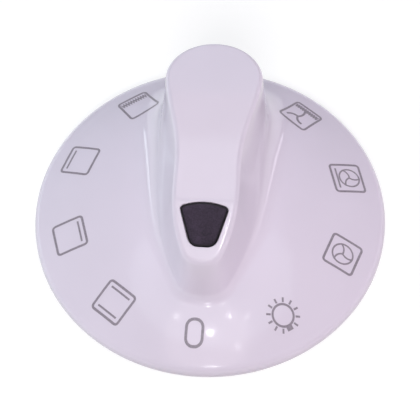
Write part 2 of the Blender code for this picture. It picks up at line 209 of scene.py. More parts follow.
# Each lamp's name, the azimuth and elevation of its two ends in degrees, its height in metres, its
# power in watts, its tint and whether gloss shows it
LAMPS = (
    ("front_lamp", (-20, 38), (20, 38), 0.42, 4.4, "#FFF8FC", False),
    ("left_lamp", (-105, 14), (-75, 14), 0.3, 2.7, "#E8F8FC", False),
    ("right_lamp", (75, 14), (105, 14), 0.3, 2.3, "#FEF0FA", False),
    ("overhead_lamp", (-90, 62), (90, 62), 0.8, 1.65, "#ECF8FF", True),
    ("back_lamp", (165, 14), (-165, 14), 0.3, 1.8, "#E4F3FA", False),
    ("high_front_lamp", (-34, 62), (34, 62), 0.42, 0.45, "#FFF0F0", True),
    ("high_back_lamp", (146, 62), (-146, 62), 0.42, 0.6, "#FFE8EE", True),
    ("middle_back_lamp", (160, 38), (-160, 38), 0.42, 0.45, "#EDF2FC", True),
    ("left_strip", (-140, 7), (-84, 7), 0.1, 0.7, "#F0FAFF", True),
    ("right_strip", (84, 7), (142, 7), 0.1, 0.6, "#FEF6FF", True),
    ("foot_lamp", (-2, 52), (9, 52), 0.08, 0.26, "#FFFFFF", True),
    ("spot_lamp_1", (-37.3, 70.3), (-33.3, 70.3), 0.02, 0.014, "#FFFFFF", True),
    ("spot_lamp_2", (22.8, 72.8), (27.2, 72.8), 0.02, 0.013, "#FFFFFF", True),
    ("spot_lamp_3", (0.2, 68.4), (3.8, 68.4), 0.02, 0.1, "#FFFFFF", True),
    ("spot_lamp_4", (40.1, 69.9), (43.9, 69.9), 0.02, 0.008, "#FFFFFF", True),
    ("spot_lamp_5", (21.5, 62), (24.9, 62), 0.02, 0.012, "#FFFFFF", True),
)

# Fineness of the surfaces
HALF_COLUMNS = 168
COLUMN_POWER = 1.2
ROWS = {"rim": 10, "dome": 22, "flare": 16, "wall": 8, "round": 10, "top": 12}
INSIDE_FINENESS = 0.5
CUTTER_FINENESS = 0.4
CUTTER_HALF_COLUMNS = 40
HALVINGS = 40
EDGE_SEGMENTS = 3
INSERT_EDGE_SEGMENTS = 5
CORNER_STEPS = 10
BOW_STEPS = 16
POCKET_STEPS = 4
ROUND_VERTICES = 96
CLIP_VERTICES = 144
RING_VERTICES = 64
OUTLINE_SEGMENTS = 8
TURN_SLACK = 0.01
WELD = 0.001 * MM
OVERRUN = 1.0 * MM
SMOOTH_ANGLE = math.radians(35.0)

# What the numbers in the sidebar are, to Blender
LENGTH = {"min": 0.0, "precision": 5, "subtype": "DISTANCE", "unit": "LENGTH"}
ANGLE = {"subtype": "ANGLE", "unit": "ROTATION"}
SHARE = {"min": 0.0, "soft_max": 2.0, "subtype": "FACTOR"}

# Blender's noise lies mostly between these values
SPREAD = {"From Min": 0.3, "From Max": 0.7}


def linear(hex_colour):
    """An sRGB colour such as #DCD4E2 as the linear values that shaders take."""
    channels = [int(hex_colour[place:place + 2], 16) / 255 for place in (1, 3, 5)]
    return [c / 12.92 if c <= 0.04045 else ((c + 0.055) / 1.055) ** 2.4 for c in channels]


def number(kind, name, default, description):
    """A number that the sidebar shows as a length, an angle or a share."""
    return bpy.props.FloatProperty(name=name, description=description, default=default, **kind)


def colour(name, default, description):
    """A colour with a swatch in the sidebar."""
    return bpy.props.FloatVectorProperty(name=name, description=description, default=linear(default),
                                         size=3, min=0.0, max=1.0, subtype="COLOR")


class KnobShape(bpy.types.PropertyGroup):
    """Sizes of the moulding and of the parts it carries."""

    dial_radius: number(LENGTH, "Dial radius", BODY_HIGH.x, "Radius of the dial's rim")
    dome_radius: number(LENGTH, "Dome radius", 64.0 * MM, "Radius of the sphere it is cut from")
    wall: number(LENGTH, "Wall", 2.2 * MM, "Thickness of the moulding")
    crown_height: number(LENGTH, "Crown height", BODY_HIGH.z, "Height of the grip above the rim")
    scoop_depth: number(LENGTH, "Scoop depth", 2.2 * MM, "How far the scoops narrow the grip")
    nose_slope: number(ANGLE, "Nose slope", math.radians(25.0), "Slope of the pointer's facet")
    pointer_gap: number(LENGTH, "Pointer gap", 0.09 * MM, "Gap between insert and pocket")


class KnobPrint(bpy.types.PropertyGroup):
    """Layout of the printed marks."""

    ring_radius: number(LENGTH, "Ring radius", 25.84 * MM, "Radius of the ring of marks")
    first_mark: number(ANGLE, "First mark", math.radians(-91.4), "Direction of the figure")
    frame_stroke: number(LENGTH, "Frame stroke", 0.42 * MM, "Stroke of the marks' square frames")


class KnobFinish(bpy.types.PropertyGroup):
    """Colours of the four materials."""

    plastic: colour("Moulding", "#DAD2DF", "Colour of the white moulding")
    pointer: colour("Pointer", "#352B3A", "Colour of the pointer insert")
    ink: colour("Ink", "#908892", "Colour of the printed marks")
    steel: colour("Spring steel", "#A9A8AA", "Colour of the boss clip")


class KnobStage(bpy.types.PropertyGroup):
    """Light and floor of the studio."""

    lamp_share: number(SHARE, "Lamps", 1.0, "Strength of all lamps together")
    fill: number(SHARE, "Fill", 0.04, "Strength of the even light from all round")
    floor: colour("Floor", "#A8A8A8", "Colour of the floor")
    floor_glow: number(SHARE, "Floor glow", 0.66, "How much brighter the floor looks")


def activate(item):
    """Select one object alone and make it the active one."""
    bpy.ops.object.select_all(action="DESELECT")
    item.select_set(True)
    bpy.context.view_layer.objects.active = item


@contextmanager
def editing(item, whole=False):
    """Edit one object's mesh, with nothing or the whole of it selected at first."""
    activate(item)
    bpy.ops.object.mode_set(mode="EDIT")
    bpy.ops.mesh.select_mode(type="VERT")
    bpy.ops.mesh.select_all(action="SELECT" if whole else "DESELECT")
    yield
    bpy.ops.object.mode_set(mode="OBJECT")


def pick(item, kind, test):
    """Select the vertices, edges or faces that pass a test, in edit mode."""
    bpy.ops.mesh.select_mode(type=kind)
    bpy.ops.mesh.select_all(action="DESELECT")
    mesh = bmesh.from_edit_mesh(item.data)
    elements = {"VERT": mesh.verts, "EDGE": mesh.edges, "FACE": mesh.faces}[kind]
    for element in elements:
        element.select_set(test(element))
    mesh.select_flush_mode()
    bmesh.update_edit_mesh(item.data)


def extrude(*step):
    """Extrude what is selected in edit mode by a step."""
    bpy.ops.mesh.extrude_region_move(TRANSFORM_OT_translate={"value": step})


def added(name, operator, **settings):
    """Add a primitive under its own name and at the origin."""
    operator(**settings)
    item = bpy.context.object
    item.name = name
    item.data.name = name
    bpy.ops.object.transform_apply(location=True, rotation=True, scale=True)
    return item


def cleaned(item):
    """Weld doubled vertices and turn all faces outwards."""
    with editing(item, whole=True):
        bpy.ops.mesh.remove_doubles(threshold=WELD)
        bpy.ops.mesh.normals_make_consistent(inside=False)
    return item


def apply_modifier(item, kind, **settings):
    """Add a modifier, set it and apply it."""
    modifier = item.modifiers.new(kind.title(), kind)
    for name, value in settings.items():
        setattr(modifier, name, value)
    activate(item)
    bpy.ops.object.modifier_apply(modifier=modifier.name)
    return item


def combine(target, tool, operation):
    """Join, cut or trim target with tool, which is used up."""
    apply_modifier(target, "BOOLEAN", operation=operation, solver="EXACT", object=tool)
    bpy.data.objects.remove(tool, do_unlink=True)
    return cleaned(target)


def joined(items):
    """Several meshes as one object."""
    activate(items[0])
    for item in items[1:]:
        item.select_set(True)
    bpy.ops.object.join()
    return items[0]


def smoothed(item):
    """Shade round surfaces smooth and keep true edges sharp."""
    activate(item)
    bpy.ops.object.shade_smooth_by_angle(angle=SMOOTH_ANGLE)
    return item


def finished(item, material, stands_for=None):
    """Give a piece its material and its place on the knob."""
    item.data.materials.clear()
    item.data.materials.append(material)
    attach(item, "root")
    if stands_for:
        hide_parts(stands_for)
    return item


def bezier(start, corner, end, t):
    """Point on the curve that leaves start and reaches end tangent to the two sides of the corner."""
    return start * (1 - t) ** 2 + corner * (2 * t * (1 - t)) + end * t ** 2


def shares(count):
    """Even steps after 0, up to and with 1."""
    return [(step + 1) / count for step in range(count)]


def lobed_half_width(y, width, widest_y, nose, back, taper, back_fullness):
    """Half width at y of an outline that tapers to a blunt nose and ends in a half oval at the back."""
    if y < widest_y:
        along = min((widest_y - y) / (widest_y + nose), 1.0)
        return width * (1 - taper * along ** TAPER_POWER) * math.sqrt(1 - along ** NOSE_SQUARENESS)
    along = min((y - widest_y) / (back - widest_y), 1.0)
    return width * (1 - along ** back_fullness) ** (1 / back_fullness)


def foot_point(inset, fraction):
    """Point of the foot's outline on the +X side, at a fraction of its length from the nose."""
    y = -FOOT_NOSE + inset + fraction * (FOOT_NOSE + FOOT_BACK - 2 * inset)
    x = lobed_half_width(y, FOOT_HALF_WIDTH - inset, FOOT_WIDEST_Y, FOOT_NOSE - inset,
                         FOOT_BACK - inset, FOOT_TAPER, FOOT_BACK_FULLNESS)
    return Vector((x, y, 0))


def top_point(shape, inset, fraction):
    """The same for the top edge, waisted by the finger scoops."""
    y = -TOP_NOSE + inset + fraction * (TOP_NOSE + TOP_BACK - 2 * inset)
    x = lobed_half_width(y, HEAD_HALF_WIDTH - inset, HEAD_Y, TOP_NOSE - inset, TOP_BACK - inset,
                         TOP_TAPER, HEAD_FULLNESS)
    place = max(-1.0, min(1.0, (y - SCOOP_Y) / SCOOP_REACH))
    scoop = shape.scoop_depth * math.cos(math.pi / 2 * place) ** 2
    return Vector((max(x - scoop, 0.0), y, 0))


def fraction_at(inset, turn):
    """Fraction of the length at which the foot is seen from the spindle in this direction."""
    low, high = 0.0, 1.0
    for _ in range(HALVINGS):
        middle = (low + high) / 2
        point = foot_point(inset, middle)
        if math.atan2(point.y, point.x) < turn:
            low = middle
        else:
            high = middle
    return (low + high) / 2


def mirrored(half):
    """Close a half outline, nose to back on the +X side, into a whole ring."""
    return half + [Vector((-point.x, point.y, point.z)) for point in reversed(half[1:-1])]


def outward(ring):
    """Unit normals in plan of a ring that runs anticlockwise."""
    normals = []
    for index in range(len(ring)):
        along = ring[(index + 1) % len(ring)] - ring[index - 1]
        normals.append(Vector((along.y, -along.x, 0)).normalized())
    return normals


def dome_centre(shape):
    """Height of the dome's centre, below the rim."""
    lean = math.asin((shape.dial_radius - RIM_ROUND) / (shape.dome_radius - RIM_ROUND))
    return RIM_LAND + (RIM_ROUND - shape.dome_radius) * math.cos(lean)


def on_dome(shape, point, inset=0.0):
    """The point in plan, lifted on to the dome."""
    sphere = shape.dome_radius - inset
    rise = math.sqrt(sphere ** 2 - point.xy.length_squared)
    return Vector((point.x, point.y, dome_centre(shape) + rise))


def crown_height(shape, y):
    """Height of the grip's crowned back."""
    return shape.crown_height - (y - CROWN_Y) ** 2 / (2 * CROWN_RADIUS)


def top_height(shape, y, inset=0.0):
    """Height of the grip's top: the crowned back rolls over the crest into the nose facet."""
    crown = crown_height(shape, y)
    facet = crown_height(shape, CREST_Y) + math.tan(shape.nose_slope) * (y - CREST_Y)
    roll = max(CREST_ROLL - abs(crown - facet), 0.0)
    return min(crown, facet) - roll ** 2 / (4 * CREST_ROLL) - inset


def rim_profile(shape, inset, steps):
    """Radii and heights from the rim's upright side, round its upper edge, to the dome."""
    radius = shape.dial_radius - inset
    sphere = shape.dome_radius - inset
    corner = max(RIM_ROUND - inset, INNER_ROUND)
    lean = math.asin((radius - corner) / (sphere - corner))
    centre = dome_centre(shape) + (sphere - corner) * math.cos(lean)
    turns = [step / steps * (math.pi / 2 - lean) for step in range(steps + 1)]
    return [(radius - corner * (1 - math.cos(turn)), centre + corner * math.sin(turn)) for turn in turns]


def bottom_profile(radius, side):
    """Radii and heights round the rim's lower edge; side is 1 outside and -1 inside."""
    turns = [(step / 3 - 1) * math.pi / 2 for step in range(4)]
    return [(radius - side * BOTTOM_ROUND * (1 - math.cos(turn)), BOTTOM_ROUND * (1 + math.sin(turn)))
            for turn in turns]


def grip_sections(shape, inset, half_columns):
    """For each column round the knob, the points that its section is drawn through."""
    turns = [math.pi * ((step / half_columns) ** COLUMN_POWER - 0.5) for step in range(1, half_columns)]
    fractions = [0.0] + [fraction_at(inset, turn) for turn in turns] + [1.0]
    foot = mirrored([foot_point(inset, f) for f in fractions])
    top = mirrored([top_point(shape, inset, f) for f in fractions])
    back = mirrored([Vector((0, 0, f * f * (3 - 2 * f))) for f in fractions])
    edge_round = max(TOP_ROUND - inset, INNER_ROUND)
    spine_start = -TOP_NOSE + inset + SPINE_INSET
    sections = []
    for point, upper, foot_out, top_out, blend in zip(foot, top, outward(foot), outward(top), back):
        free = (shape.dial_radius - inset - RIM_ROUND - point.length) * FLARE_SHARE
        flare = min(FLARE_NOSE + (FLARE_BACK - FLARE_NOSE) * blend.z, free)
        rise = FLARE_RISE_NOSE + (FLARE_RISE_BACK - FLARE_RISE_NOSE) * blend.z
        edge = on_dome(shape, point + foot_out * flare, inset)
        slope = edge.dot(foot_out) / (edge.z - dome_centre(shape))
        corner = Vector((point.x, point.y, edge.z + slope * flare))
        upper = Vector((upper.x, upper.y, top_height(shape, upper.y, inset)))
        wall = (upper - corner).normalized()
        inner = upper - top_out * edge_round
        inner.z = top_height(shape, inner.y, inset)
        spine = Vector((0, min(max(inner.y, spine_start), HEAD_Y), 0))
        shoulder, brink = corner + wall * rise, upper - wall * edge_round
        sections.append((edge, corner, shoulder, brink, upper, inner, spine))
    return sections


def level_ring(ring, radius, height):
    """A round ring at one height, its points in the same directions as those of another."""
    return [point.xy.normalized().to_3d() * radius + Vector((0, 0, height)) for point in ring]


def knob_rings(shape, inset, half_columns, fineness=1.0):
    """Rings of points from the rim up over the dome, the flare and the grip to its spine."""
    sections = grip_sections(shape, inset, half_columns)
    edges = [section[0] for section in sections]
    rows = {name: max(2, round(count * fineness)) for name, count in ROWS.items()}
    rings = [level_ring(edges, *place) for place in rim_profile(shape, inset, rows["rim"])]
    rim = rings[-1]
    for t in shares(rows["dome"]):
        rings.append([on_dome(shape, start.lerp(edge, t), inset) for start, edge in zip(rim, edges)])
    for t in shares(rows["flare"]):
        rings.append([bezier(edge, corner, shoulder, t) for edge, corner, shoulder, *_ in sections])
    for t in shares(rows["wall"]):
        rings.append([section[2].lerp(section[3], t) for section in sections])
    for t in shares(rows["round"]):
        rings.append([bezier(brink, upper, inner, t) for *_, brink, upper, inner, spine in sections])
    for t in shares(rows["top"]):
        ring = [inner.lerp(spine, t) for *_, inner, spine in sections]
        for point in ring:
            point.z = top_height(shape, point.y, inset)
        rings.append(ring)
    return rings


def wrapped_grid(name, rings):
    """A grid laid over rings of points, then sewn shut along its seam and at its ends."""
    columns = len(rings[0])
    item = added(name, bpy.ops.mesh.primitive_grid_add, x_subdivisions=columns,
                 y_subdivisions=len(rings) - 1, size=1.0)
    for vertex in item.data.vertices:
        row, column = divmod(vertex.index, columns + 1)
        vertex.co = rings[row][column % columns]
    return cleaned(item)


def closed_form(shape, name, inset):
    """Solid of the knob's outer form, drawn in by an inset and open nowhere."""
    rings = knob_rings(shape, inset, CUTTER_HALF_COLUMNS, CUTTER_FINENESS)
    skirt = level_ring(rings[0], shape.dial_radius - inset, -OVERRUN)
    middle = [Vector((0, 0, -OVERRUN)) for _ in skirt]
    return wrapped_grid(name, [middle, skirt] + rings)


def shell(shape):
    """The moulding's shell: inner side, rim and outer side in one sheet."""
    outside = knob_rings(shape, 0.0, HALF_COLUMNS)
    inside = knob_rings(shape, shape.wall, HALF_COLUMNS, INSIDE_FINENESS)
    inner = bottom_profile(shape.dial_radius - shape.wall, -1)
    outer = bottom_profile(shape.dial_radius, 1)
    inner_edge = [level_ring(inside[0], *place) for place in inner]
    outer_edge = [level_ring(outside[0], *place) for place in outer]
    return wrapped_grid("knob_moulding", list(reversed(inner_edge + inside)) + outer_edge + outside)


def block(name, low, high, turn=0.0):
    """A block between two corners, turned about the spindle."""
    low, high = Vector(low), Vector(high)
    item = added(name, bpy.ops.mesh.primitive_cube_add, size=1.0, location=(low + high) / 2,
                 scale=high - low)
    item.data.transform(Matrix.Rotation(turn, 4, "Z"))
    return item


def rod(name, radius, low, high):
    """A round bar on the spindle's axis."""
    return added(name, bpy.ops.mesh.primitive_cylinder_add, vertices=ROUND_VERTICES, radius=radius,
                 depth=high - low, location=(0, 0, (low + high) / 2))


def facet_frame(shape):
    """Frame on the nose facet: origin at the crest, +Y down the slope to the nose, +Z out of it."""
    slope = shape.nose_slope
    down = Vector((0, -math.cos(slope), -math.sin(slope)))
    out = Vector((0, -math.sin(slope), math.cos(slope)))
    turn = Matrix((down.cross(out), down, out)).transposed().to_4x4()
    return Matrix.Translation((0, CREST_Y, crown_height(shape, CREST_Y))) @ turn


def insert_outline(grow=0.0):
    """Rounded trapezoid of the insert in the facet's plane, its top edge bowed to the crest."""
    start, end = INSERT_START - grow, INSERT_END + grow
    top, nose = INSERT_TOP_HALF_WIDTH + grow, INSERT_NOSE_HALF_WIDTH + grow
    corners = [((-top, start), INSERT_TOP_CORNER), ((top, start), INSERT_TOP_CORNER),
               ((nose, end), INSERT_NOSE_CORNER), ((-nose, end), INSERT_NOSE_CORNER)]
    outline = []
    for index, (corner, reach) in enumerate(corners):
        here = Vector(corner)
        before = Vector(corners[index - 1][0])
        after = Vector(corners[(index + 1) % 4][0])
        first = here + (before - here).normalized() * (reach + grow)
        last = here + (after - here).normalized() * (reach + grow)
        outline += [bezier(first, here, last, step / CORNER_STEPS) for step in range(CORNER_STEPS + 1)]
        if index == 0:
            across = Vector((-last.x, last.y))
            outline += [last.lerp(across, step / BOW_STEPS) for step in range(1, BOW_STEPS)]
    for point in outline:
        point.y -= INSERT_BOW * (1 - (point.x / top) ** 2) * (end - point.y) / (end - start)
    return outline


def outline_prism(name, outline, low, high):
    """A filled circle pulled to an outline and extruded between two levels of its own frame."""
    item = added(name, bpy.ops.mesh.primitive_circle_add, vertices=len(outline), fill_type="NGON")
    for vertex, point in zip(item.data.vertices, outline):
        vertex.co = (*point, low)
    with editing(item, whole=True):
        extrude(0, 0, high - low)
    return cleaned(item)


def wall_behind_facet(shape):
    """Depth of the moulding's wall, measured square to the facet."""
    return shape.wall * math.cos(shape.nose_slope)


def knob_moulding(shape):
    """Dial and grip: one moulding, hollow from below, with its boss, ribs, pocket and socket."""
    body = shell(shape)
    insides = combine(boss_and_grip_ribs(shape), skirt_ribs(shape), "UNION")
    combine(insides, closed_form(shape, "middle of the walls", shape.wall / 2), "INTERSECT")
    combine(insides, socket_cutter(), "DIFFERENCE")
    combine(body, insides, "UNION")
    combine(body, pocket_cutter(shape), "DIFFERENCE")
    return smoothed(body)


def boss_and_grip_ribs(shape):
    """The boss, its end softly rounded, with three ribs to the grip's walls."""
    boss = rod("boss", BOSS_RADIUS, BOSS_RECESS, shape.crown_height)
    with editing(boss):
        pick(boss, "EDGE", lambda edge: all(v.co.z < BOSS_RECESS + WELD for v in edge.verts))
        bpy.ops.mesh.bevel(offset=BOTTOM_ROUND, segments=EDGE_SEGMENTS, affect="EDGES")
    root = (SOCKET_RADIUS + BOSS_RADIUS) / 2
    half = RIB_THICKNESS / 2
    spans = [((-half, root), (half, FOOT_BACK)), ((root, -half), (FOOT_HALF_WIDTH, half)),
             ((-FOOT_HALF_WIDTH, -half), (-root, half))]
    for low, high in spans:
        rib = block("grip rib", (*low, GRIP_RIB_RECESS), (*high, shape.crown_height))
        combine(boss, rib, "UNION")
    return boss


def skirt_ribs(shape):
    """Low ribs on the underside of the skirt, between the grip's foot and the rim."""
    half = SKIRT_RIB_THICKNESS / 2
    low = (FOOT_HALF_WIDTH - shape.wall, -half, 0)
    high = (shape.dial_radius - shape.wall / 2, half, shape.crown_height)
    turns = [2 * math.pi * (number + 0.5) / SKIRT_RIB_COUNT for number in range(SKIRT_RIB_COUNT)]
    ribs = joined([block("skirt rib", low, high, turn) for turn in turns])
    inset = shape.wall / 2
    steps = CUTTER_HALF_COLUMNS
    foot = mirrored([foot_point(inset, step / steps) for step in range(steps + 1)])
    top = shape.crown_height + OVERRUN
    combine(ribs, outline_prism("grip footprint", [p.xy for p in foot], -OVERRUN, top), "DIFFERENCE")
    combine(ribs, closed_form(shape, "rib depth", shape.wall + SKIRT_RIB_DEPTH), "DIFFERENCE")
    return ribs


def socket_cutter():
    """D-shaped socket with its flared mouth, the slit opposite its flat, and the clip's groove."""
    socket = rod("socket", SOCKET_RADIUS, BOSS_RECESS - OVERRUN, BOSS_RECESS + SOCKET_DEPTH)
    with editing(socket, whole=True):
        bpy.ops.mesh.bisect(plane_co=(0, SOCKET_FLAT, 0), plane_no=(0, 1, 0), use_fill=True,
                            clear_outer=True)
    mouth = added("socket mouth", bpy.ops.mesh.primitive_cone_add, vertices=ROUND_VERTICES,
                  radius1=SOCKET_RADIUS + 2 * SOCKET_MOUTH, radius2=SOCKET_RADIUS - SOCKET_MOUTH,
                  depth=3 * SOCKET_MOUTH, location=(0, 0, BOSS_RECESS + SOCKET_MOUTH / 2))
    slit = block("slit", (-SLIT_WIDTH / 2, -BOSS_RADIUS - OVERRUN, -OVERRUN),
                 (SLIT_WIDTH / 2, SLIT_WIDTH / 3, BOSS_RECESS + SLIT_DEPTH))
    low, high = CLIP_LOW.z - CLEARANCE, CLIP_HIGH.z + CLEARANCE
    groove = rod("groove", BOSS_RADIUS + OVERRUN, low, high)
    combine(groove, rod("groove core", BOSS_RADIUS - CLIP_THICKNESS, low - OVERRUN, high + OVERRUN),
            "DIFFERENCE")
    for tool in (mouth, slit, groove):
        combine(socket, tool, "UNION")
    return socket


def pocket_cutter(shape):
    """Recess for the insert, with the two holes that its legs snap through."""
    levels = [(OVERRUN, POCKET_ROUND + OVERRUN)]
    for step in range(POCKET_STEPS + 1):
        turn = math.pi / 2 / POCKET_STEPS * step
        levels.append((POCKET_ROUND * (math.cos(turn) - 1), POCKET_ROUND * (1 - math.sin(turn))))
    levels.append((-INSERT_THICKNESS - CLEARANCE, 0.0))
    rings = [[Vector((*point, level)) for point in insert_outline(shape.pointer_gap + grow)]
             for level, grow in levels]
    ends = [[Vector((0, INSERT_MIDDLE, level)) for _ in rings[0]]
            for level in (levels[0][0], levels[-1][0])]
    pocket = wrapped_grid("pocket", [ends[0]] + rings + [ends[1]])
    width = LEG_WIDTH / 2 + CLEARANCE
    depth = LEG_THICKNESS / 2 + CLEARANCE
    floor = -wall_behind_facet(shape) - OVERRUN
    for place, _ in LEGS:
        low, high = (-width, place - depth, floor), (width, place + depth, -INSERT_THICKNESS)
        combine(pocket, block("leg hole", low, high), "UNION")
    pocket.data.transform(facet_frame(shape))
    return pocket


def snap_leg(shape, place, way):
    """A leg under the insert whose hook catches behind the wall, sloped so that it snaps in."""
    shank = -wall_behind_facet(shape) - CLEARANCE
    half = LEG_THICKNESS / 2
    leg = block("snap leg", (-LEG_WIDTH / 2, place - half, shank - HOOK_HEIGHT),
                (LEG_WIDTH / 2, place + half, -INSERT_THICKNESS / 2))
    with editing(leg, whole=True):
        bpy.ops.mesh.bisect(plane_co=(0, 0, shank), plane_no=(0, 0, 1))
        pick(leg, "FACE", lambda face: face.normal.y * way > 0.9 and face.calc_center_median().z < shank)
        extrude(0, way * HOOK_REACH, 0)
        outer = place + way * (half + HOOK_REACH)
        pick(leg, "VERT", lambda vertex: abs(vertex.co.y - outer) < WELD and vertex.co.z < shank - WELD)
        bpy.ops.transform.translate(value=(0, -way * HOOK_REACH, 0))
    return cleaned(leg)


def pointer_plate(shape):
    """The charcoal insert: a plate with rolled edges and a faintly crowned face, on two snap legs."""
    def on_face(face):
        return face.calc_center_median().z > level - WELD

    level = INSERT_PROUD - INSERT_CROWN
    plate = outline_prism("knob_pointer", insert_outline(), -INSERT_THICKNESS, level)
    with editing(plate):
        pick(plate, "FACE", on_face)
        bpy.ops.mesh.region_to_loop()
        bpy.ops.mesh.bevel(offset=INSERT_EDGE, segments=INSERT_EDGE_SEGMENTS, affect="EDGES")
        pick(plate, "FACE", on_face)
        for size, rise in INSERT_CROWN_STEPS:
            extrude(0, 0, rise * INSERT_CROWN)
            bpy.ops.transform.resize(value=(size, size, 1), center_override=(0, INSERT_MIDDLE, level))
    cleaned(plate)
    for place, way in LEGS:
        combine(plate, snap_leg(shape, place, way), "UNION")
    plate.data.transform(facet_frame(shape))
    return smoothed(plate)


def spring_clip():
    """Open ring of spring strip round the boss, its edges dulled, its gap over the slit."""
    radius = CLIP_HIGH.x - CLIP_THICKNESS / 2
    clip = added("knob_boss_clip", bpy.ops.mesh.primitive_circle_add, vertices=CLIP_VERTICES,
                 radius=radius, location=(0, 0, CLIP_LOW.z))
    spare = math.cos(CLIP_GAP / 2) * radius + WELD
    with editing(clip):
        pick(clip, "VERT", lambda vertex: -vertex.co.y > spare)
        bpy.ops.mesh.delete(type="VERT")
        bpy.ops.mesh.select_all(action="SELECT")
        extrude(0, 0, CLIP_HIGH.z - CLIP_LOW.z)
    cleaned(clip)
    apply_modifier(clip, "SOLIDIFY", thickness=CLIP_THICKNESS, offset=0.0)
    apply_modifier(clip, "BEVEL", width=CLIP_EDGE, segments=2, limit_method="ANGLE",
                   angle_limit=SMOOTH_ANGLE)
    return smoothed(cleaned(clip))


def patch(name, width, height):
    """A flat rectangle on the middle of the mark."""
    item = added(name, bpy.ops.mesh.primitive_plane_add, size=1.0)
    item.data.transform(Matrix.Diagonal((width, height, 1, 1)))
    return item


def stroke_ring(name, radius, stroke, centre=(0, 0), sweep=2 * math.pi):
    """A ring, or an arc of one, drawn with one stroke whose outer side has this radius."""
    def past_the_arc(vertex):
        return math.atan2(vertex.co.y, vertex.co.x) % (2 * math.pi) > sweep + TURN_SLACK

    ring = added(name, bpy.ops.mesh.primitive_circle_add, vertices=RING_VERTICES, radius=radius)
    with editing(ring):
        if sweep < 2 * math.pi:
            pick(ring, "VERT", past_the_arc)
            bpy.ops.mesh.delete(type="VERT")
        bpy.ops.mesh.select_all(action="SELECT")
        bpy.ops.mesh.extrude_region_move()
        scale = (radius - stroke) / radius
        bpy.ops.transform.resize(value=(scale, scale, 1), center_override=(0, 0, 0))
    ring.data.transform(Matrix.Translation((*centre, 0)))
    return ring


def stroke_outline(name, width, height, corner, stroke):
    """A rectangle with round corners, drawn with one stroke; full corners make it an oval."""
    outline = patch(name, width, height)
    with editing(outline, whole=True):
        bpy.ops.mesh.bevel(offset=corner, segments=OUTLINE_SEGMENTS, affect="VERTICES")
        bpy.ops.mesh.select_all(action="SELECT")
        bpy.ops.mesh.inset(thickness=stroke)
        bpy.ops.mesh.delete(type="FACE")
    return outline


def bar(name, width, height, centre, turn=0.0):
    """A straight stroke, turned about the middle of the mark."""
    item = patch(name, width, height)
    item.data.transform(Matrix.Rotation(turn, 4, "Z") @ Matrix.Translation((*centre, 0)))
    return item


def oven(stroke):
    """The rounded square that stands for the oven in most of the marks."""
    return stroke_outline("oven", FRAME_WIDTH, FRAME_HEIGHT, FRAME_CORNER, stroke)


def heat(side):
    """A heating element: a bar along the inner side (1) or the outer side (-1) of the frame."""
    return [bar("heat", HEAT_LENGTH, HEAT_STROKE, (0, side * HEAT_PLACE))]


def grill(reach):
    """A heating coil: a stroke that runs up and down along the outer side of the frame."""
    width = FRAME_WIDTH - 2 * GRILL_INSET
    low = -FRAME_HEIGHT / 2 + GRILL_INSET
    rise = reach - GRILL_STROKE
    coil = added("coil", bpy.ops.mesh.primitive_plane_add, size=1.0)
    with editing(coil):
        pick(coil, "VERT", lambda vertex: vertex.co.x > 0)
        bpy.ops.mesh.delete(type="VERT")
    for vertex in coil.data.vertices:
        vertex.co = (-width / 2, low + (GRILL_STROKE if vertex.co.y > 0 else 0), 0)
    with editing(coil, whole=True):
        for leg in range(GRILL_LEGS):
            extrude(width / GRILL_LEGS, rise if leg % 2 == 0 else -rise, 0)
    return [coil]


def fan(radius, centre, stroke, with_ring):
    """A fan of curved blades, with or without its ring."""
    pieces = [stroke_ring("fan ring", radius, stroke, centre)] if with_ring else []
    bend = radius / (2 * math.sin(BLADE_SWEEP / 2))
    for number in range(BLADE_COUNT):
        blade = stroke_ring("blade", bend + stroke / 2, stroke, sweep=BLADE_SWEEP)
        blade.data.transform(Matrix.Translation((-bend, 0, 0)))
        turn = Matrix.Rotation(number * 2 * math.pi / BLADE_COUNT + BLADE_TURN, 4, "Z")
        blade.data.transform(Matrix.Translation((*centre, 0)) @ turn)
        pieces.append(blade)
    return pieces


def figure():
    """The plain figure 0."""
    return [stroke_outline("figure", FIGURE_WIDTH, FIGURE_HEIGHT, FIGURE_CORNER, FIGURE_STROKE)]


def bulb():
    """A round lamp with rays, its cap where one ray would be."""
    pieces = [stroke_ring("bulb", LAMP_RADIUS, LAMP_STROKE)]
    middle = (RAY_START + RAY_END) / 2
    for number in range(1, RAY_COUNT):
        turn = 2 * math.pi * number / RAY_COUNT - math.pi / 2
        pieces.append(bar("ray", RAY_END - RAY_START, RAY_STROKE, (middle, 0), turn))
    cap_middle = -LAMP_CAP_START - LAMP_CAP_HEIGHT / 2
    pieces.append(bar("cap", LAMP_CAP_WIDTH, LAMP_CAP_HEIGHT, (0, cap_middle)))
    return pieces


# Each mark's name, its place counted round from the figure, whether the oven's frame is round it, and
# what is drawn: functions with their settings
MARKS = (
    ("mark_off", 0, False, ((figure,),)),
    ("mark_lamp", 1, False, ((bulb,),)),
    ("mark_fan", 2, True, ((fan, FAN_RADIUS, (0, 0), FAN_STROKE, True),)),
    ("mark_fan_lower_heat", 3, True, ((heat, 1), (fan, FAN_RADIUS, (0, FAN_SHIFT), FAN_STROKE, True))),
    ("mark_fan_grill", 4, True, (
        (grill, SHORT_GRILL_REACH), (fan, WIDE_FAN_RADIUS, WIDE_FAN_PLACE, WIDE_FAN_STROKE, False))),
    ("mark_grill", -4, True, ((grill, GRILL_REACH),)),
    ("mark_upper_heat", -3, True, ((heat, -1),)),
    ("mark_lower_heat", -2, True, ((heat, 1),)),
    ("mark_both_heats", -1, True, ((heat, 1), (heat, -1))),
)


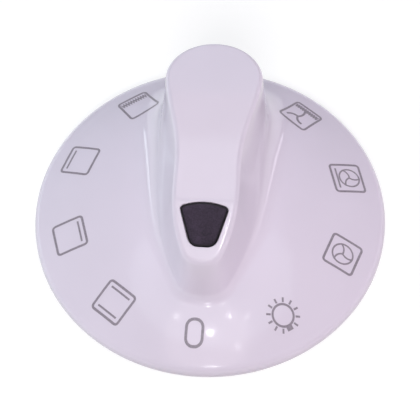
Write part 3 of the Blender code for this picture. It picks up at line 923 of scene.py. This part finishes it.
def inked(name, strokes):
    """Give flat strokes the ink's thickness and fuse them into one print."""
    for stroke in strokes:
        cleaned(stroke)
        apply_modifier(stroke, "SOLIDIFY", thickness=INK_THICKNESS, offset=0.0)
        cleaned(stroke)
    mark = strokes[0]
    for stroke in strokes[1:]:
        combine(mark, stroke, "UNION")
    mark.name = name
    mark.data.name = name
    return mark


def printed(mark, moulding, turn, ring_radius, shift):
    """Lay a flat print on the moulding, at its place on the ring."""
    with editing(mark):
        pick(mark, "EDGE", lambda edge: edge.calc_length() > STEP_ON_DOME)
        bpy.ops.mesh.subdivide(number_cuts=CUTS_ON_DOME)
    place = Matrix.Rotation(turn + math.pi / 2, 4, "Z") @ Matrix.Translation((shift, -ring_radius, 0))
    mark.data.transform(place)
    above = Vector((0, 0, 2 * BODY_HIGH.z))
    for vertex in mark.data.vertices:
        _, under, _, _ = moulding.ray_cast(vertex.co.xy.to_3d() + above, Vector((0, 0, -1)))
        vertex.co.z += under.z + INK_LIFT
    return smoothed(cleaned(mark))


def set_inputs(tree, node, inputs):
    """Give inputs of a node plain values or the outputs of other nodes."""
    for name, value in inputs.items():
        if isinstance(value, bpy.types.NodeSocket):
            tree.links.new(value, node.inputs[name])
        else:
            node.inputs[name].default_value = value


def add_node(tree, kind, inputs=None, **settings):
    """Add a node with its settings and links, and return its outputs."""
    node = tree.nodes.new("ShaderNode" + kind)
    for name, value in settings.items():
        setattr(node, name, value)
    set_inputs(tree, node, inputs or {})
    return node.outputs


def new_material(name):
    """A material with its tree, its shader and the coordinates of the object that wears it."""
    material = bpy.data.materials.new(name)
    material.use_nodes = True
    tree = material.node_tree
    return material, tree, tree.nodes["Principled BSDF"], add_node(tree, "TexCoord")["Object"]


def tinted(base, factor):
    """A colour made darker or lighter by a factor, as a shader takes it."""
    return [min(channel * factor, 1.0) for channel in base] + [1.0]


def tones(base, dark, light):
    """A darker and a lighter tone of a colour, as a colour mix takes them."""
    return {6: tinted(base, dark), 7: tinted(base, light)}


def gloss_abs(finish):
    """Gloss ABS, injection moulded in a polished tool.

    It gives a deep, even white with a clear reflection that wavers a little where the skin
    sank while it cooled, and faint clouds where fingers have dulled it.
    """
    material, tree, shader, place = new_material("gloss moulded ABS")
    flow = add_node(tree, "TexNoise", {"Vector": place, "Scale": 1 / (14 * MM)})
    flow = add_node(tree, "MapRange", {"Value": flow["Fac"], **SPREAD})
    skin = add_node(tree, "Mix", {0: flow["Result"], **tones(finish.plastic, 0.985, 1.015)},
                    data_type="RGBA")
    touch = add_node(tree, "TexNoise", {"Vector": place, "Scale": 1 / (5 * MM), "Detail": 4.0})
    touch = add_node(tree, "MapRange", {"Value": touch["Fac"], **SPREAD, "To Min": 0.07, "To Max": 0.11})
    sink = add_node(tree, "TexNoise", {"Vector": place, "Scale": 1 / (2.2 * MM), "Detail": 1.0})
    bump = add_node(tree, "Bump", {"Height": sink["Fac"], "Strength": 0.25, "Distance": 0.01 * MM})
    set_inputs(tree, shader, {"IOR": 1.53, "Base Color": skin[2], "Roughness": touch["Result"],
                              "Normal": bump["Normal"]})
    return material


def grained_abs(finish, out):
    """Charcoal ABS, its face moulded against a spark-eroded steel and its rolled edge against polish.

    The face's grain is some 0.05 mm, drawn here as 0.3 mm so that it shows; it scatters the
    light into a soft grey bloom with a speckle in it. The rolled edge is smoother, and its colour
    is darkened far down where the surface turns away from the face: painted shade.
    """
    material, tree, shader, place = new_material("spark-eroded ABS")
    # Mask of the face against its rolled edge: the edge gets painted shade in its colour and a lower
    # roughness
    normal = add_node(tree, "TexCoord")["Normal"]
    facing = add_node(tree, "VectorMath", {0: normal, 1: out}, operation="DOT_PRODUCT")
    flat = add_node(tree, "MapRange", {"Value": facing["Value"], "From Min": 0.86, "From Max": 0.985})
    grain = add_node(tree, "TexNoise", {"Vector": place, "Scale": 1 / (0.3 * MM), "Detail": 3.0,
                                        "Roughness": 0.6})
    cloud = add_node(tree, "TexNoise", {"Vector": place, "Scale": 1 / (2.5 * MM)})
    looks = []
    for pattern, most, dark, light in ((grain, 1.0, 0.3, 1.8), (cloud, 0.5, 0.5, 2.2)):
        amount = add_node(tree, "MapRange", {"Value": pattern["Fac"], **SPREAD, "To Max": most})
        look = add_node(tree, "Mix", {0: amount["Result"], **tones(finish.pointer, dark, light)},
                        data_type="RGBA")
        looks.append(look[2])
    face = add_node(tree, "Mix", {0: 0.5, 6: looks[0], 7: looks[1]}, data_type="RGBA")
    # Painted shade: the rolled edge takes 0.15 of the pointer's colour
    skin = add_node(tree, "Mix", {0: flat["Result"], 6: tinted(finish.pointer, 0.15), 7: face[2]},
                    data_type="RGBA")
    rough = add_node(tree, "MapRange", {"Value": flat["Result"], "To Min": 0.45, "To Max": 0.7})
    bump = add_node(tree, "Bump", {"Height": grain["Fac"], "Strength": 0.5, "Distance": 0.05 * MM})
    set_inputs(tree, shader, {"IOR": 1.53, "Base Color": skin[2], "Roughness": rough["Result"],
                              "Normal": bump["Normal"]})
    return material


def spring_strip(finish):
    """Hardened spring steel, cold rolled: satin grey with fine lines, drawn coarse enough to show."""
    material, tree, shader, place = new_material("cold-rolled spring steel")
    lines = add_node(tree, "Mapping", {"Vector": place, "Scale": (0.03, 0.03, 1.0)})
    rolled = add_node(tree, "TexNoise", {"Vector": lines["Vector"], "Scale": 1 / (0.12 * MM),
                                         "Detail": 3.0})
    tone = add_node(tree, "MapRange", {"Value": rolled["Fac"], **SPREAD})
    skin = add_node(tree, "Mix", {0: tone["Result"], **tones(finish.steel, 0.85, 1.1)}, data_type="RGBA")
    rough = add_node(tree, "MapRange", {"Value": rolled["Fac"], **SPREAD, "To Min": 0.24, "To Max": 0.4})
    bump = add_node(tree, "Bump", {"Height": rolled["Fac"], "Strength": 0.3, "Distance": 0.01 * MM})
    set_inputs(tree, shader, {"Metallic": 1.0, "Base Color": skin[2], "Roughness": rough["Result"],
                              "Normal": bump["Normal"]})
    return material


def pad_ink(finish):
    """Two-part pad-printing ink: a thin grey film, less glossy than the plastic, a little uneven."""
    material, tree, shader, place = new_material("pad-printing ink")
    film = add_node(tree, "TexNoise", {"Vector": place, "Scale": 1 / (0.35 * MM), "Detail": 3.0})
    film = add_node(tree, "MapRange", {"Value": film["Fac"], **SPREAD})
    skin = add_node(tree, "Mix", {0: film["Result"], **tones(finish.ink, 0.88, 1.15)}, data_type="RGBA")
    set_inputs(tree, shader, {"IOR": 1.5, "Roughness": 0.35, "Base Color": skin[2]})
    return material


def studio_white(studio):
    """Matt white board under the knob, brighter to the eye than the light on it makes it."""
    material, tree, shader, place = new_material("studio board")
    clouds = add_node(tree, "TexNoise", {"Vector": place, "Scale": 1 / (60 * MM)})
    clouds = add_node(tree, "MapRange", {"Value": clouds["Fac"], **SPREAD})
    skin = add_node(tree, "Mix", {0: clouds["Result"], **tones(studio.floor, 0.99, 1.0)}, data_type="RGBA")
    set_inputs(tree, shader, {"Roughness": 0.9, "Base Color": skin[2],
                              "Emission Strength": seen_directly(tree, studio.floor_glow)})
    return material


def seen_directly(tree, brightness):
    """A brightness that the camera, a gloss or a glass shows, and that doesn't light the knob."""
    path = add_node(tree, "LightPath")
    seen = path["Is Camera Ray"]
    for ray in ("Is Glossy Ray", "Is Transmission Ray"):
        seen = add_node(tree, "Math", {0: seen, 1: path[ray]}, operation="MAXIMUM")[0]
    return add_node(tree, "MapRange", {"Value": seen, "To Max": brightness})["Result"]


def surroundings(studio):
    """A weak even light from all round."""
    world = bpy.data.worlds.new("white surroundings")
    world.use_nodes = True
    tree = world.node_tree
    set_inputs(tree, tree.nodes["Background"], {"Color": (1, 1, 1, 1), "Strength": studio.fill})
    return world


def round_the_knob(azimuth, elevation):
    """Direction from the spindle, counted from the nose towards +X and up from the floor."""
    flat = math.cos(elevation)
    return Vector((flat * math.sin(azimuth), -flat * math.cos(azimuth), math.sin(elevation)))


def add_lamp(studio, name, start, end, height, power, tint, in_gloss):
    """A soft box that faces the knob, its length spanned between two directions.

    Gloss shows only some of the lamps, so that the others leave no bright lines in it.
    """
    start, end = [round_the_knob(*map(math.radians, way)) * LAMP_DISTANCE for way in (start, end)]
    side = (end - start).normalized()
    out = (start + end).normalized()
    bpy.ops.object.light_add(type="AREA")
    lamp = bpy.context.object
    lamp.name = name
    lamp.data.shape = "ELLIPSE"
    lamp.data.size = (end - start).length
    lamp.data.size_y = height
    lamp.data.energy = power * studio.lamp_share
    lamp.data.color = linear(tint)
    lamp.visible_camera = False
    lamp.visible_glossy = in_gloss
    lamp.matrix_world = (Matrix.Translation((start + end) / 2)
                         @ Matrix((side, out.cross(side), out)).transposed().to_4x4())


def add_camera(scene):
    """Long lens from above the nose, as the photograph was taken."""
    bpy.ops.object.camera_add()
    camera = bpy.context.object
    way = round_the_knob(CAMERA_AZIMUTH, CAMERA_ELEVATION)
    roll = Matrix.Rotation(-CAMERA_ROLL, 4, "Z")
    facing = way.to_track_quat("Z", "Y").to_matrix().to_4x4()
    camera.matrix_world = Matrix.Translation(way * CAMERA_DISTANCE) @ facing @ roll
    camera.data.lens = CAMERA_LENS
    camera.data.sensor_width = CAMERA_SENSOR
    camera.data.shift_x, camera.data.shift_y = CAMERA_SHIFT
    camera.data.clip_start = 10 * MM
    scene.camera = camera


class KnobOperator:
    """What the operators share."""

    bl_options = {"REGISTER", "UNDO"}


class KNOB_OT_add_moulding(KnobOperator, bpy.types.Operator):
    """Add the white moulding: dial, grip, boss and ribs"""

    bl_idname = "knob.add_moulding"
    bl_label = "Add moulding"

    def execute(self, context):
        scene = context.scene
        body = knob_moulding(scene.knob_shape)
        finished(body, gloss_abs(scene.knob_finish), "knob_body")
        return {"FINISHED"}


class KNOB_OT_add_pointer(KnobOperator, bpy.types.Operator):
    """Add the charcoal pointer insert with its snap legs"""

    bl_idname = "knob.add_pointer"
    bl_label = "Add pointer insert"

    def execute(self, context):
        scene = context.scene
        plate = pointer_plate(scene.knob_shape)
        out = facet_frame(scene.knob_shape).col[2].to_3d()
        finished(plate, grained_abs(scene.knob_finish, out), "pointer_insert")
        return {"FINISHED"}


class KNOB_OT_add_clip(KnobOperator, bpy.types.Operator):
    """Add the spring clip round the boss"""

    bl_idname = "knob.add_clip"
    bl_label = "Add boss clip"

    def execute(self, context):
        finish = context.scene.knob_finish
        finished(spring_clip(), spring_strip(finish), "boss_clip")
        return {"FINISHED"}


class KNOB_OT_add_marks(KnobOperator, bpy.types.Operator):
    """Print the nine marks round the dial"""

    bl_idname = "knob.add_marks"
    bl_label = "Print marks"

    def execute(self, context):
        layout = context.scene.knob_print
        moulding = bpy.data.objects["knob_moulding"]
        ink = pad_ink(context.scene.knob_finish)
        for name, number, framed, drawing in MARKS:
            strokes = [oven(layout.frame_stroke)] if framed else []
            for draw, *settings in drawing:
                strokes += draw(*settings)
            turn = layout.first_mark + number * 2 * math.pi / MARK_PLACES
            shift = FRAME_SHIFT if framed else PLAIN_SHIFT
            finished(printed(inked(name, strokes), moulding, turn, layout.ring_radius, shift), ink)
        return {"FINISHED"}


class KNOB_OT_add_stage(KnobOperator, bpy.types.Operator):
    """Add the floor, the lamps, the white surroundings and the camera"""

    bl_idname = "knob.add_stage"
    bl_label = "Add stage"

    def execute(self, context):
        studio = context.scene.knob_stage
        floor = added("studio_floor", bpy.ops.mesh.primitive_plane_add, size=FLOOR_SIZE)
        floor.data.materials.append(studio_white(studio))
        for lamp in LAMPS:
            add_lamp(studio, *lamp)
        context.scene.world = surroundings(studio)
        context.scene.view_settings.view_transform = "Standard"
        add_camera(context.scene)
        return {"FINISHED"}


class KNOB_PT_sidebar(bpy.types.Panel):
    """Sizes, colours and steps of the oven knob"""

    bl_idname = "KNOB_PT_sidebar"
    bl_label = "Oven knob"
    bl_space_type = "VIEW_3D"
    bl_region_type = "UI"
    bl_category = "Knob"

    def draw(self, context):
        for name, kind in GROUPS.items():
            column = self.layout.column(align=True)
            for setting in kind.__annotations__:
                column.prop(getattr(context.scene, name), setting)
        for operator in OPERATORS:
            self.layout.operator(operator.bl_idname)


GROUPS = {"knob_shape": KnobShape, "knob_print": KnobPrint, "knob_finish": KnobFinish,
          "knob_stage": KnobStage}
OPERATORS = (KNOB_OT_add_moulding, KNOB_OT_add_pointer, KNOB_OT_add_clip, KNOB_OT_add_marks,
             KNOB_OT_add_stage)
CLASSES = (*GROUPS.values(), *OPERATORS, KNOB_PT_sidebar)


def register():
    for kind in CLASSES:
        bpy.utils.register_class(kind)
    for name, kind in GROUPS.items():
        setattr(bpy.types.Scene, name, bpy.props.PointerProperty(type=kind))


def unregister():
    for name in GROUPS:
        delattr(bpy.types.Scene, name)
    for kind in reversed(CLASSES):
        bpy.utils.unregister_class(kind)


def main():
    register()
    bpy.ops.knob.add_moulding()
    bpy.ops.knob.add_pointer()
    bpy.ops.knob.add_clip()
    bpy.ops.knob.add_marks()
    bpy.ops.knob.add_stage()


if __name__ == "__main__":
    main()
